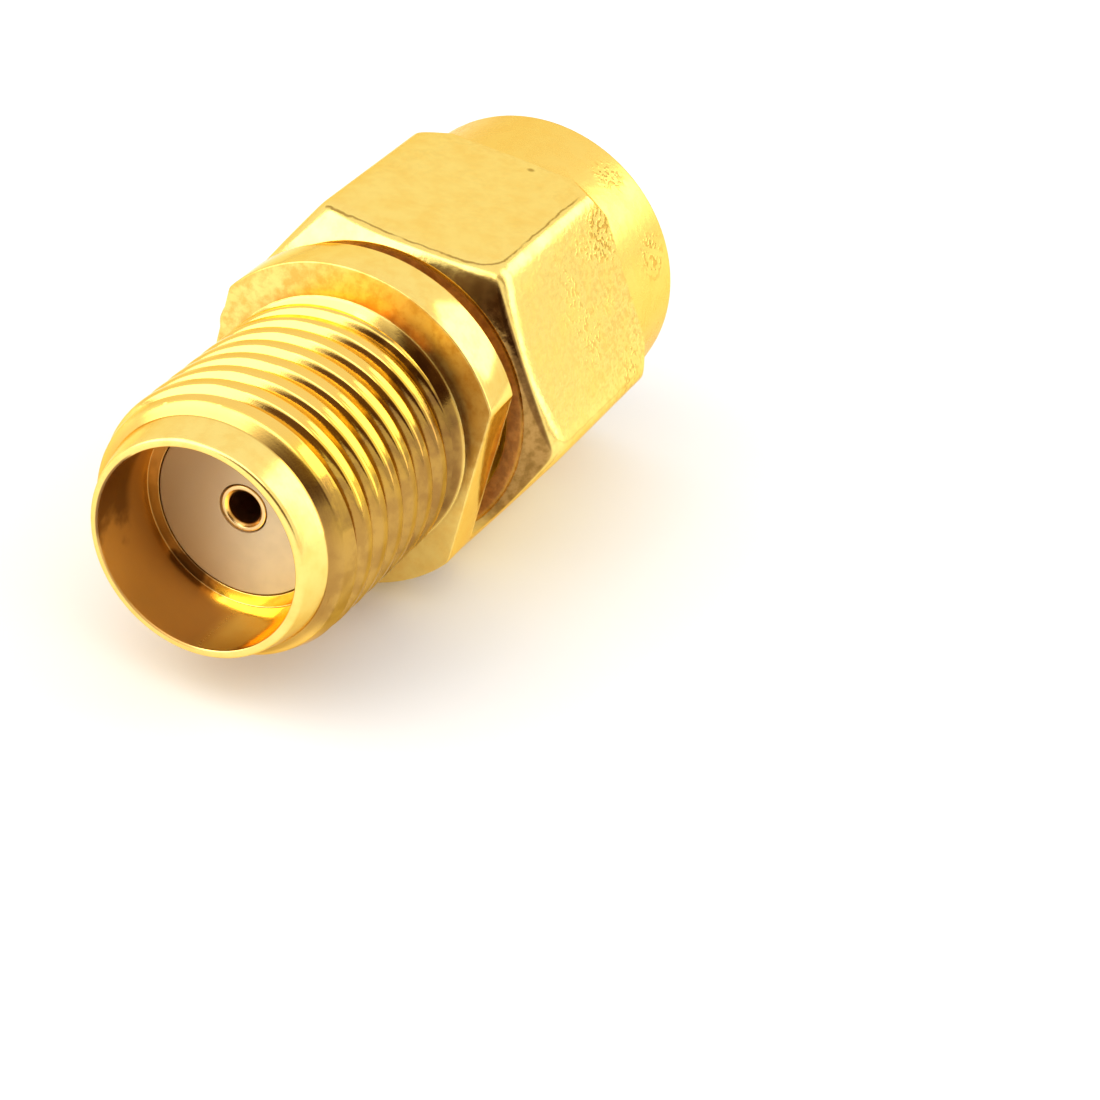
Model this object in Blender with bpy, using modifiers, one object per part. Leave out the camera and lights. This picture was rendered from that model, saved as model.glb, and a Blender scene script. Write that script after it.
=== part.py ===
"""Threaded coaxial adapter: a jack at one end and a plug with a free-turning coupling nut at the other.

Metres, +Z up. The common axis lies along X, with the jack's rim at -X and the nut's rim at +X.
The nut rests on one of its hexagon flats. The origin is on that flat's plane, under the middle of the length.
Each turned piece is drawn along its own Z, with the jack's rim at zero, and an empty lays that Z along +X.
"""
import math

import bmesh
import bpy
from mathutils import Matrix

MM = 0.001

# Facets round a large piece, and round the thin contact.
STEPS = 48
CONTACT_STEPS = 24
MERGE = 1e-6
SHARP_ANGLE = math.radians(24)

# Through hole that the dielectric beads fill. The other radii of the body build up on it.
DIELECTRIC_RADIUS = 2.09 * MM

# Jack end: counterbore with the ledge that a mating plug seats on, and a flared nose.
LEDGE_WIDTH = 0.28 * MM
COUNTERBORE_DEPTH = 2.06 * MM
COUNTERBORE_LIP = 0.04 * MM
NOSE_WALL = 0.19 * MM
NOSE_LENGTH = 0.80 * MM
NOSE_FLARE = 0.19 * MM
NOSE_ROUND = 0.08 * MM

# Thread of 36 turns to the inch, 60 degree flanks, with flat crests and roots.
PITCH = 25.4 / 36 * MM
FLANK_ANGLE = math.radians(60)
CREST_WIDTH = 0.26 * MM
ROOT_WIDTH = 0.03 * MM
BARREL_WALL = 0.42 * MM
THREAD_CHAMFER = 0.20 * MM
THREAD_TAPER = 0.50 * MM
THREAD_LEAD_IN = 0.28 * MM
RELIEF_LENGTH = 0.22 * MM
RELIEF_SLOPE = 0.28 * MM
RELIEF_DROP = 0.02 * MM

# Flange behind the thread, with its two wrench flats.
JACK_LENGTH = 6.45 * MM
FLANGE_STEP = 0.80 * MM
FLANGE_THICKNESS = 1.14 * MM
FLANGE_EDGE = 0.05 * MM
FLAT_DEPTH = 0.575 * MM
BODY_TURN = math.radians(4.67)

# Neck that the nut turns on, with a groove that the snap ring can close into, and the plug's ferrule.
GROOVE_WALL = 0.19 * MM
FERRULE_WALL = 0.19 * MM
FERRULE_LENGTH = 1.45 * MM
FERRULE_EDGE = 0.04 * MM

# Snap ring: its size along the radius and the axis, its split, and how far it springs out of the neck.
RING_DEPTH = 0.33 * MM
RING_THICKNESS = 0.50 * MM
RING_SPLIT = 0.60 * MM
RING_STAND_OUT = 0.22 * MM
RING_SETBACK = 1.20 * MM

# Coupling nut: hexagon at the back, with a chamfer behind and a taper in front, and a round skirt.
NUT_GAP = 0.68 * MM
HEX_STEP = 0.23 * MM
HEX_LENGTH = 5.72 * MM
HEX_CORNER_ROUND = 0.24 * MM
REAR_CHAMFER_DROP = 0.22 * MM
REAR_CHAMFER_ANGLE = math.radians(30)
TAPER_LENGTH = 0.62 * MM
TAPER_DROP = 0.34 * MM
SKIRT_LENGTH = 2.88 * MM
SKIRT_WALL = 0.51 * MM
SKIRT_FILLET = 0.10 * MM
RIM_ROUND = 0.14 * MM

# Inside of the nut: mouth, thread, hollow for the gasket, bore on the neck, and the opening at the back.
MOUTH_DEPTH = 0.97 * MM
MOUTH_CHAMFER = 0.06 * MM
NUT_THREAD_LENGTH = 1.90 * MM
HOLLOW_STEP = 0.07 * MM
BACK_OPENING_STEP = 0.39 * MM
BACK_OPENING_DEPTH = 0.80 * MM
BACK_OPENING_CHAMFER = 0.20 * MM

# Contact: a socket at each end and a collar in the middle that the two dielectric beads trap.
SOCKET_RADIUS = 0.385 * MM
SOCKET_WALL = 0.185 * MM
SOCKET_DEPTH = 2.60 * MM
SOCKET_CHAMFER = 0.07 * MM
SLOT_WIDTH = 0.10 * MM
SLOT_DEPTH = 2.20 * MM
CONTACT_COLLAR_STEP = 0.33 * MM
CONTACT_COLLAR_LENGTH = 0.80 * MM

# Gasket round the foot of the ferrule, and how far the nut's mouth stands out past the ferrule.
GASKET_WIDTH = 0.44 * MM
GASKET_THICKNESS = 0.95 * MM
GASKET_ROUND = 0.10 * MM
FERRULE_RECESS = 3.12 * MM

# Clearances, along the radius or the axis.
RUNNING_CLEARANCE = 0.08 * MM
RING_CLEARANCE = 0.04 * MM
SEAT_CLEARANCE = 0.02 * MM
SOCKET_CLEARANCE = 0.06 * MM
THREAD_CLEARANCE = 0.03 * MM
MOUTH_CLEARANCE = 0.08 * MM

# How far a cutter reaches past the faces that it cuts.
OVERCUT = 0.12 * MM

# Radii that follow, from the middle outwards.
FLANK_SLOPE = math.tan(FLANK_ANGLE / 2)
THREAD_DEPTH = (PITCH - CREST_WIDTH - ROOT_WIDTH) / 2 / FLANK_SLOPE
CONTACT_RADIUS = SOCKET_RADIUS + SOCKET_WALL
CONTACT_COLLAR_RADIUS = CONTACT_RADIUS + CONTACT_COLLAR_STEP
COUNTERBORE_RADIUS = DIELECTRIC_RADIUS + LEDGE_WIDTH
NOSE_RADIUS = COUNTERBORE_RADIUS + NOSE_WALL
THREAD_ROOT_RADIUS = COUNTERBORE_RADIUS + BARREL_WALL
THREAD_RADIUS = THREAD_ROOT_RADIUS + THREAD_DEPTH
FLANGE_RADIUS = THREAD_RADIUS + FLANGE_STEP
FERRULE_RADIUS = DIELECTRIC_RADIUS + FERRULE_WALL
GASKET_RADIUS = FERRULE_RADIUS + GASKET_WIDTH
NECK_GROOVE_RADIUS = DIELECTRIC_RADIUS + GROOVE_WALL
NECK_RADIUS = NECK_GROOVE_RADIUS + RING_CLEARANCE + RING_DEPTH
RING_OUTER_RADIUS = NECK_RADIUS + RING_STAND_OUT
RING_INNER_RADIUS = RING_OUTER_RADIUS - RING_DEPTH
NUT_BORE_RADIUS = NECK_RADIUS + RUNNING_CLEARANCE
NUT_GROOVE_RADIUS = RING_OUTER_RADIUS + RUNNING_CLEARANCE
NUT_THREAD_RADIUS = THREAD_ROOT_RADIUS + THREAD_CLEARANCE
HOLLOW_RADIUS = THREAD_RADIUS + THREAD_CLEARANCE + HOLLOW_STEP
MOUTH_RADIUS = THREAD_RADIUS + MOUTH_CLEARANCE
SKIRT_RADIUS = MOUTH_RADIUS + SKIRT_WALL
BACK_OPENING_RADIUS = NUT_BORE_RADIUS + BACK_OPENING_STEP
AXIS_HEIGHT = SKIRT_RADIUS + HEX_STEP
NUT_CORNER_RADIUS = AXIS_HEIGHT / math.cos(math.radians(30))

# Stations that follow, along the axis from the jack's rim.
RELIEF_END = JACK_LENGTH - RELIEF_SLOPE
THREAD_END = RELIEF_END - RELIEF_LENGTH
FLANGE_BACK = JACK_LENGTH + FLANGE_THICKNESS
NUT_BACK = FLANGE_BACK + NUT_GAP
HEX_FRONT = NUT_BACK + HEX_LENGTH
NUT_FRONT = HEX_FRONT + SKIRT_LENGTH
MOUTH_FLOOR = NUT_FRONT - MOUTH_DEPTH
NUT_THREAD_BACK = MOUTH_FLOOR - NUT_THREAD_LENGTH
FERRULE_END = NUT_FRONT - FERRULE_RECESS
NECK_END = FERRULE_END - FERRULE_LENGTH
RING_MIDDLE = NECK_END - RING_SETBACK
RING_BACK = RING_MIDDLE - RING_THICKNESS / 2
RING_FRONT = RING_MIDDLE + RING_THICKNESS / 2
GROOVE_BACK = RING_BACK - RING_CLEARANCE
GROOVE_FRONT = RING_FRONT + RING_CLEARANCE
CONTACT_MIDDLE = (COUNTERBORE_DEPTH + FERRULE_END) / 2
CONTACT_COLLAR_BACK = CONTACT_MIDDLE - CONTACT_COLLAR_LENGTH / 2
CONTACT_COLLAR_FRONT = CONTACT_MIDDLE + CONTACT_COLLAR_LENGTH / 2


def clear_scene():
    for thing in list(bpy.data.objects):
        bpy.data.objects.remove(thing, do_unlink=True)


def new_collection(name):
    collection = bpy.data.collections.new(name)
    bpy.context.scene.collection.children.link(collection)
    return collection


def new_material(name, color, roughness, metallic):
    material = bpy.data.materials.new(name)
    material.use_nodes = True
    shader = material.node_tree.nodes["Principled BSDF"]
    shader.inputs["Base Color"].default_value = (*color, 1.0)
    shader.inputs["Roughness"].default_value = roughness
    shader.inputs["Metallic"].default_value = metallic
    material.diffuse_color = (*color, 1.0)
    return material


def new_axis(name, collection, turn):
    """Empty at the middle of the jack's rim, with its Z along +X, turned about that axis."""
    empty = bpy.data.objects.new(name, None)
    empty.empty_display_size = THREAD_RADIUS
    collection.objects.link(empty)
    lay_down = Matrix.Rotation(math.radians(90), 4, "Y")
    place = Matrix.Translation((-NUT_FRONT / 2, 0.0, AXIS_HEIGHT))
    empty.matrix_world = place @ lay_down @ Matrix.Rotation(turn, 4, "Z")
    return empty


def add_object(name, mesh, collection, axis, material=None):
    thing = bpy.data.objects.new(name, mesh)
    collection.objects.link(thing)
    thing.parent = axis
    if material:
        mesh.materials.append(material)
    return thing


def mesh_from(bm, name):
    mesh = bpy.data.meshes.new(name)
    bm.to_mesh(mesh)
    bm.free()
    return mesh


def turned_piece(name, outline, steps, collection, axis, material):
    """Turn an outline of (station, radius) points, given from front to back outside, round the local Z axis.

    An outline that starts and ends on the axis stays open, and any other is closed.
    """
    mesh = bpy.data.meshes.new(name)
    points = [(radius, 0.0, station) for station, radius in outline]
    edges = [(i, i + 1) for i in range(len(points) - 1)]
    if outline[0][1] > 0.0:
        edges.append((len(points) - 1, 0))
    mesh.from_pydata(points, edges, [])
    piece = add_object(name, mesh, collection, axis, material)
    screw = piece.modifiers.new("turn", "SCREW")
    screw.steps = steps
    screw.render_steps = steps
    screw.use_merge_vertices = True
    screw.merge_threshold = MERGE
    return piece


def cutter(name, mesh, collection, axis):
    tool = add_object(name, mesh, collection, axis)
    tool.hide_render = True
    tool.display_type = "WIRE"
    return tool


def box_cutter(name, size, center, collection, axis):
    bm = bmesh.new()
    bmesh.ops.create_cube(bm, size=1.0, matrix=Matrix.Translation(center) @ Matrix.Diagonal((*size, 1.0)))
    return cutter(name, mesh_from(bm, name), collection, axis)


def thread_cutter(name, section, start, end, collection, axis):
    """Sweep a section of (offset along the axis, radius) points along a right-hand helix."""
    bm = bmesh.new()
    rings = []
    for i in range(math.floor((end - start) / PITCH * STEPS) + 1):
        turn = i / STEPS
        angle = turn * math.tau
        along = start + PITCH * turn
        ring = [bm.verts.new((radius * math.cos(angle), radius * math.sin(angle), along + offset))
                for offset, radius in section]
        rings.append(ring)
    for near, far in zip(rings, rings[1:]):
        for j in range(len(section)):
            k = (j + 1) % len(section)
            bm.faces.new((near[j], near[k], far[k], far[j]))
    bm.faces.new(rings[0])
    bm.faces.new(rings[-1])
    bmesh.ops.recalc_face_normals(bm, faces=bm.faces)
    return cutter(name, mesh_from(bm, name), collection, axis)


def groove_section(crest_radius, inwards):
    """Corners of the groove between two crests: inwards is 1 for an outer thread and -1 for an inner one."""
    half_root = ROOT_WIDTH / 2
    half_top = (PITCH - CREST_WIDTH) / 2 + OVERCUT * FLANK_SLOPE
    root = crest_radius - inwards * THREAD_DEPTH
    top = crest_radius + inwards * OVERCUT
    return [(-half_root, root), (half_root, root), (half_top, top), (-half_top, top)]


def add_boolean(piece, operation, tool):
    modifier = piece.modifiers.new(tool.name, "BOOLEAN")
    modifier.operation = operation
    modifier.solver = "EXACT"
    modifier.object = tool


def rounded_corner(station, radius, size, outside):
    """Three points of a quarter arc at a piece's front corner, from the outer side towards the front face."""
    points = []
    for degrees in (0, 45, 90):
        angle = math.radians(degrees)
        along = station - size * (1 - math.sin(angle))
        points.append((along, radius - outside * size * (1 - math.cos(angle))))
    return points


def body_outline():
    """The first thread starts at half its height and tapers up to the full crest."""
    taper_start = NOSE_LENGTH + THREAD_CHAMFER
    relief_radius = THREAD_ROOT_RADIUS - RELIEF_DROP
    outside = [
        (0.0, NOSE_RADIUS - NOSE_ROUND),
        (NOSE_ROUND, NOSE_RADIUS),
        (NOSE_LENGTH, NOSE_RADIUS + NOSE_FLARE),
        (taper_start, THREAD_RADIUS - THREAD_DEPTH / 2),
        (taper_start + THREAD_TAPER, THREAD_RADIUS),
        (THREAD_END, THREAD_RADIUS),
        (THREAD_END, relief_radius),
        (RELIEF_END, relief_radius),
        (JACK_LENGTH, THREAD_RADIUS),
        (JACK_LENGTH, FLANGE_RADIUS - FLANGE_EDGE),
        (JACK_LENGTH + FLANGE_EDGE, FLANGE_RADIUS),
        (FLANGE_BACK - FLANGE_EDGE, FLANGE_RADIUS),
        (FLANGE_BACK, FLANGE_RADIUS - FLANGE_EDGE),
        (FLANGE_BACK, NECK_RADIUS),
        (GROOVE_BACK, NECK_RADIUS),
        (GROOVE_BACK, NECK_GROOVE_RADIUS),
        (GROOVE_FRONT, NECK_GROOVE_RADIUS),
        (GROOVE_FRONT, NECK_RADIUS),
        (NECK_END, NECK_RADIUS),
        (NECK_END, FERRULE_RADIUS),
        (FERRULE_END - FERRULE_EDGE, FERRULE_RADIUS),
        (FERRULE_END, FERRULE_RADIUS - FERRULE_EDGE),
    ]
    inside = [
        (FERRULE_END, DIELECTRIC_RADIUS),
        (COUNTERBORE_DEPTH, DIELECTRIC_RADIUS),
        (COUNTERBORE_DEPTH, COUNTERBORE_RADIUS),
        (COUNTERBORE_LIP, COUNTERBORE_RADIUS),
        (0.0, COUNTERBORE_RADIUS + COUNTERBORE_LIP),
    ]
    return list(reversed(outside + inside))


def build_body(parts, cutters, axis, material):
    body = turned_piece("adapter_body", body_outline(), STEPS, parts, axis, material)
    groove = thread_cutter("body_thread", groove_section(THREAD_RADIUS, 1), NOSE_LENGTH - THREAD_LEAD_IN,
                           THREAD_END + RELIEF_LENGTH / 2, cutters, axis)
    add_boolean(body, "DIFFERENCE", groove)
    size = (2 * FLAT_DEPTH, 2 * FLANGE_RADIUS, FLANGE_THICKNESS + 2 * OVERCUT)
    middle = JACK_LENGTH + FLANGE_THICKNESS / 2
    for side, name in ((1, "left_flat"), (-1, "right_flat")):
        flat = box_cutter(name, size, (side * FLANGE_RADIUS, 0.0, middle), cutters, axis)
        add_boolean(body, "DIFFERENCE", flat)
    return body


def nut_outline():
    chamfer_radius = AXIS_HEIGHT - REAR_CHAMFER_DROP
    chamfer_length = (NUT_CORNER_RADIUS - chamfer_radius) * math.tan(REAR_CHAMFER_ANGLE)
    outside = [
        (NUT_BACK, chamfer_radius),
        (NUT_BACK + chamfer_length, NUT_CORNER_RADIUS),
        (HEX_FRONT - TAPER_LENGTH, NUT_CORNER_RADIUS),
        (HEX_FRONT, NUT_CORNER_RADIUS - TAPER_DROP),
        (HEX_FRONT, SKIRT_RADIUS + SKIRT_FILLET),
        (HEX_FRONT + SKIRT_FILLET, SKIRT_RADIUS),
        *rounded_corner(NUT_FRONT, SKIRT_RADIUS, RIM_ROUND, 1),
    ]
    inside = [
        (NUT_FRONT, MOUTH_RADIUS + MOUTH_CHAMFER),
        (NUT_FRONT - MOUTH_CHAMFER, MOUTH_RADIUS),
        (MOUTH_FLOOR, MOUTH_RADIUS),
        (MOUTH_FLOOR, NUT_THREAD_RADIUS),
        (NUT_THREAD_BACK, NUT_THREAD_RADIUS),
        (NUT_THREAD_BACK, HOLLOW_RADIUS),
        (NECK_END, HOLLOW_RADIUS),
        (NECK_END, NUT_BORE_RADIUS),
        (GROOVE_FRONT, NUT_BORE_RADIUS),
        (GROOVE_FRONT, NUT_GROOVE_RADIUS),
        (GROOVE_BACK, NUT_GROOVE_RADIUS),
        (GROOVE_BACK, NUT_BORE_RADIUS),
        (NUT_BACK + BACK_OPENING_DEPTH, NUT_BORE_RADIUS),
        (NUT_BACK + BACK_OPENING_DEPTH, BACK_OPENING_RADIUS),
        (NUT_BACK + BACK_OPENING_CHAMFER, BACK_OPENING_RADIUS),
        (NUT_BACK, BACK_OPENING_RADIUS + BACK_OPENING_CHAMFER),
    ]
    return list(reversed(outside + inside))


def hexagon_stock(cutters, axis):
    """Six-sided bar with rounded corners, longer than the nut, that trims it to its flats.

    Two corners lie on the local Y axis, so a flat faces down when the axis is laid along +X.
    """
    length = NUT_FRONT - NUT_BACK + 2 * OVERCUT
    place = Matrix.Translation((0.0, 0.0, (NUT_BACK + NUT_FRONT) / 2))
    bm = bmesh.new()
    bmesh.ops.create_cone(bm, cap_ends=True, segments=6, radius1=NUT_CORNER_RADIUS,
                          radius2=NUT_CORNER_RADIUS, depth=length, matrix=place)
    corners = [edge for edge in bm.edges if abs(edge.verts[0].co.z - edge.verts[1].co.z) > length / 2]
    bmesh.ops.bevel(bm, geom=corners, offset=HEX_CORNER_ROUND, segments=3, profile=0.5, affect="EDGES")
    return cutter("hexagon_stock", mesh_from(bm, "hexagon_stock"), cutters, axis)


def build_nut(parts, cutters, axis, material):
    nut = turned_piece("coupling_nut", nut_outline(), STEPS, parts, axis, material)
    add_boolean(nut, "INTERSECT", hexagon_stock(cutters, axis))
    groove = thread_cutter("nut_thread", groove_section(NUT_THREAD_RADIUS, -1), NUT_THREAD_BACK - PITCH / 2,
                           MOUTH_FLOOR + PITCH / 2, cutters, axis)
    add_boolean(nut, "DIFFERENCE", groove)
    return nut


def build_snap_ring(parts, cutters, axis, material):
    outline = [
        (RING_FRONT, RING_OUTER_RADIUS),
        (RING_BACK, RING_OUTER_RADIUS),
        (RING_BACK, RING_INNER_RADIUS),
        (RING_FRONT, RING_INNER_RADIUS),
    ]
    ring = turned_piece("snap_ring", outline, STEPS, parts, axis, material)
    size = (RING_SPLIT, RING_OUTER_RADIUS, RING_THICKNESS + 2 * OVERCUT)
    center = (0.0, RING_INNER_RADIUS - RING_DEPTH + size[1] / 2, RING_MIDDLE)
    add_boolean(ring, "DIFFERENCE", box_cutter("ring_split", size, center, cutters, axis))
    return ring


def build_gasket(parts, axis, material):
    back = NECK_END + SEAT_CLEARANCE
    front = back + GASKET_THICKNESS
    inner = FERRULE_RADIUS + SEAT_CLEARANCE
    outline = [
        (front, GASKET_RADIUS - GASKET_ROUND),
        (front - GASKET_ROUND, GASKET_RADIUS),
        (back, GASKET_RADIUS),
        (back, inner),
        (front, inner),
    ]
    return turned_piece("gasket", outline, STEPS, parts, axis, material)


def build_jack_dielectric(parts, axis, material):
    front = CONTACT_COLLAR_BACK - SEAT_CLEARANCE
    outer = DIELECTRIC_RADIUS - SEAT_CLEARANCE
    snug = CONTACT_RADIUS + SEAT_CLEARANCE
    loose = CONTACT_RADIUS + SOCKET_CLEARANCE
    loose_end = COUNTERBORE_DEPTH + SOCKET_DEPTH
    outline = [
        (front, outer),
        (COUNTERBORE_DEPTH, outer),
        (COUNTERBORE_DEPTH, loose),
        (loose_end, loose),
        (loose_end, snug),
        (front, snug),
    ]
    return turned_piece("jack_dielectric", outline, STEPS, parts, axis, material)


def build_plug_dielectric(parts, axis, material):
    outer = DIELECTRIC_RADIUS - SEAT_CLEARANCE
    snug = CONTACT_RADIUS + SEAT_CLEARANCE
    loose = CONTACT_RADIUS + SOCKET_CLEARANCE
    pocket = CONTACT_COLLAR_RADIUS + SEAT_CLEARANCE
    pocket_floor = CONTACT_COLLAR_FRONT + SEAT_CLEARANCE
    loose_start = FERRULE_END - SOCKET_DEPTH
    outline = [
        (FERRULE_END, outer),
        (CONTACT_COLLAR_BACK, outer),
        (CONTACT_COLLAR_BACK, pocket),
        (pocket_floor, pocket),
        (pocket_floor, snug),
        (loose_start, snug),
        (loose_start, loose),
        (FERRULE_END, loose),
    ]
    return turned_piece("plug_dielectric", outline, STEPS, parts, axis, material)


def build_contact(parts, cutters, axis, material):
    plug_floor = FERRULE_END - SOCKET_DEPTH
    jack_floor = COUNTERBORE_DEPTH + SOCKET_DEPTH
    mouth = SOCKET_RADIUS + SOCKET_CHAMFER
    outline = [
        (plug_floor, 0.0),
        (plug_floor, SOCKET_RADIUS),
        (FERRULE_END - SOCKET_CHAMFER, SOCKET_RADIUS),
        (FERRULE_END, mouth),
        (FERRULE_END, CONTACT_RADIUS),
        (CONTACT_COLLAR_FRONT, CONTACT_RADIUS),
        (CONTACT_COLLAR_FRONT, CONTACT_COLLAR_RADIUS),
        (CONTACT_COLLAR_BACK, CONTACT_COLLAR_RADIUS),
        (CONTACT_COLLAR_BACK, CONTACT_RADIUS),
        (COUNTERBORE_DEPTH, CONTACT_RADIUS),
        (COUNTERBORE_DEPTH, mouth),
        (COUNTERBORE_DEPTH + SOCKET_CHAMFER, SOCKET_RADIUS),
        (jack_floor, SOCKET_RADIUS),
        (jack_floor, 0.0),
    ]
    contact = turned_piece("center_contact", outline, CONTACT_STEPS, parts, axis, material)
    size = (SLOT_WIDTH, 2 * CONTACT_RADIUS + 2 * OVERCUT, 2 * SLOT_DEPTH)
    slot = box_cutter("contact_slot", size, (0.0, 0.0, FERRULE_END), cutters, axis)
    add_boolean(contact, "DIFFERENCE", slot)
    return contact


def finish(piece):
    """Apply the piece's modifiers, then shade its round faces smooth and keep its real edges sharp."""
    graph = bpy.context.evaluated_depsgraph_get()
    mesh = bpy.data.meshes.new_from_object(piece.evaluated_get(graph))
    mesh.name = piece.name
    piece.modifiers.clear()
    piece.data = mesh
    mesh.shade_smooth()
    mesh.set_sharp_from_angle(angle=SHARP_ANGLE)


def main():
    clear_scene()
    parts = new_collection("coax_adapter")
    cutters = new_collection("cutters")
    gold = new_material("gold_plating", (0.90, 0.66, 0.28), 0.22, 1.0)
    bronze = new_material("spring_bronze", (0.62, 0.42, 0.22), 0.35, 1.0)
    ptfe = new_material("ptfe", (0.86, 0.80, 0.72), 0.55, 0.0)
    rubber = new_material("black_rubber", (0.02, 0.02, 0.02), 0.65, 0.0)

    body_axis = new_axis("body_axis", parts, math.radians(90) + BODY_TURN)
    nut_axis = new_axis("nut_axis", parts, 0.0)
    pieces = [
        build_body(parts, cutters, body_axis, gold),
        build_snap_ring(parts, cutters, body_axis, bronze),
        build_gasket(parts, body_axis, rubber),
        build_jack_dielectric(parts, body_axis, ptfe),
        build_plug_dielectric(parts, body_axis, ptfe),
        build_contact(parts, cutters, body_axis, gold),
        build_nut(parts, cutters, nut_axis, gold),
    ]
    for piece in pieces:
        finish(piece)


main()
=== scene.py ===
"""Gold-plated coax adapter: a threaded jack, a free-turning hexagon coupling nut and a plug inside it.

Metres, +Z up. The axis lies along X, from the jack's rim at -X to the nut's rim at +X. Stations are measured
along it from the jack's rim, and angles round it from straight up towards -Y.
"""
import math

import bmesh
import bpy
import numpy as np
from bpy.props import FloatProperty, FloatVectorProperty, PointerProperty
from bpy.types import Operator, Panel, PropertyGroup
from mathutils import Euler, Matrix, Vector


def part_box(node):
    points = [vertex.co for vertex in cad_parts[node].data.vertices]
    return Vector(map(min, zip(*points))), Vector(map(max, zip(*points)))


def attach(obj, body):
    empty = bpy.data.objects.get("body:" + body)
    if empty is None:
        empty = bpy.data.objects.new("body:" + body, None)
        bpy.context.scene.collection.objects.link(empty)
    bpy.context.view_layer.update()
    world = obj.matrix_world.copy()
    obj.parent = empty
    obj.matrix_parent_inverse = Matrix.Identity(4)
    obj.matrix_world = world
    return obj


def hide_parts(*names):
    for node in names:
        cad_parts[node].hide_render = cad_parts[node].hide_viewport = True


bl_info = {
    "name": "Coax Adapter",
    "version": (1, 0, 0),
    "blender": (4, 5, 0),
    "location": "View3D > Sidebar > Coax Adapter",
    "description": "Builds a gold-plated coax adapter with a threaded jack and a coupling nut",
    "category": "Object",
}

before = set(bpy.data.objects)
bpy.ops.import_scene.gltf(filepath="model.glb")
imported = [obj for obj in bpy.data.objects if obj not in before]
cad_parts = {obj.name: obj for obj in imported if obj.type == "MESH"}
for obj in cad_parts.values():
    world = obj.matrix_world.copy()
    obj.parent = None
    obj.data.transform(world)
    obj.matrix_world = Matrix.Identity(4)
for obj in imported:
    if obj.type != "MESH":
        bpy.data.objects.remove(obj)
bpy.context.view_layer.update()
MM = 0.001
MICRON = 1e-6
TAU = math.tau

BODY_LOW, BODY_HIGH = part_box("adapter_body")
NUT_LOW, NUT_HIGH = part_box("coupling_nut")
GASKET_LOW, GASKET_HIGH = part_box("gasket")
JACK_BEAD_LOW, JACK_BEAD_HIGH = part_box("jack_dielectric")
PLUG_BEAD_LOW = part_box("plug_dielectric")[0]
CONTACT_LOW, CONTACT_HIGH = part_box("center_contact")
RING_LOW, RING_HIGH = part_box("snap_ring")

# The frame gives where each piece starts and ends along the axis, and how high the axis is.
RIM_X = BODY_LOW.x
AXIS_Z = (NUT_LOW.z + NUT_HIGH.z) / 2
FERRULE_END = BODY_HIGH.x - RIM_X
NUT_BACK = NUT_LOW.x - RIM_X
NUT_FRONT = NUT_HIGH.x - RIM_X
HALF_FLATS = (NUT_HIGH.z - NUT_LOW.z) / 2
GASKET_RADIUS = (GASKET_HIGH.y - GASKET_LOW.y) / 2
BEAD_RADIUS = (JACK_BEAD_HIGH.y - JACK_BEAD_LOW.y) / 2
CONTACT_COLLAR_RADIUS = (CONTACT_HIGH.z - CONTACT_LOW.z) / 2
RING_BACK = RING_LOW.x - RIM_X
RING_FRONT = RING_HIGH.x - RIM_X

# Facets round a large turned piece and round a small one, steps on a rounded corner and steps in a pitch.
ROUND_STEPS = 240
SMALL_STEPS = 96
ARC_STEPS = 4
THREAD_STEPS = 14
MERGE = 1e-7
# Small rounding of every turned edge, and the finer one of the contact and the beads.
EDGE = 0.03 * MM
FINE_EDGE = 0.02 * MM
# The largest share of a side that the rounding of one of its corners takes up.
LONGEST_REACH = 0.45
SHARP_ANGLE = math.radians(32)
# From the middle of a side of the hexagon to its corner, round the axis.
HALF_SIDE = math.radians(30)

# Marks on the nut: distance past the hexagon's front, angle from straight up, and size in millimetres.
ROUGH_SPOTS = ((2.0, 0.50, 0.65), (1.95, 1.10, 0.85), (-0.4, 0.72, 0.9))
LONE_PIT = (-0.38, 0.17, 0.12)

# Name, azimuth from +X and elevation in degrees, width and height in millimetres, and radiance.
SOFTBOXES = (
    ("left softbox", 132, 28, 150, 140, 2.2),
    ("top softbox", 185, 62, 130, 60, 1.8),
    ("right softbox", 333, 25, 70, 75, 2.0),
    ("front softbox", 302, 30, 62, 170, 1.8),
)
# Dark part of the surroundings, in degrees: its middle, where its round edge fades, and how low it reaches.
DARK_AZIMUTH = 205
DARK_ELEVATION = 3
DARK_INNER = 40
DARK_OUTER = 46
DARK_FOOT = 9.5
DARK_FOOT_END = 12.5


def length(name, description, size):
    """Property for a length, with its default in millimetres."""
    return FloatProperty(name=name, description=description, default=size * MM, unit="LENGTH", precision=6)


def degrees(name, description, size):
    """Property for an angle, with its default in degrees."""
    return FloatProperty(name=name, description=description, default=math.radians(size), subtype="ANGLE")


def tint(name, description, color):
    return FloatVectorProperty(name=name, description=description, default=color, size=3, subtype="COLOR")


class ThreadSizes(PropertyGroup):
    pitch: length("Pitch", "Advance of the thread in one turn", 25.4 / 36)
    crest: length("Crest", "Width of the flat on top of each thread", 0.32)
    root: length("Root", "Width of the flat at the foot of each thread", 0.03)
    edge: length("Edge", "Rounding along both edges of a crest", 0.15)
    front: length("Front", "Station of a crest's front edge on the top line", 0.880)
    half_angle: degrees("Half angle", "Lean of each flank from square to the axis", 30)


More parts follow.
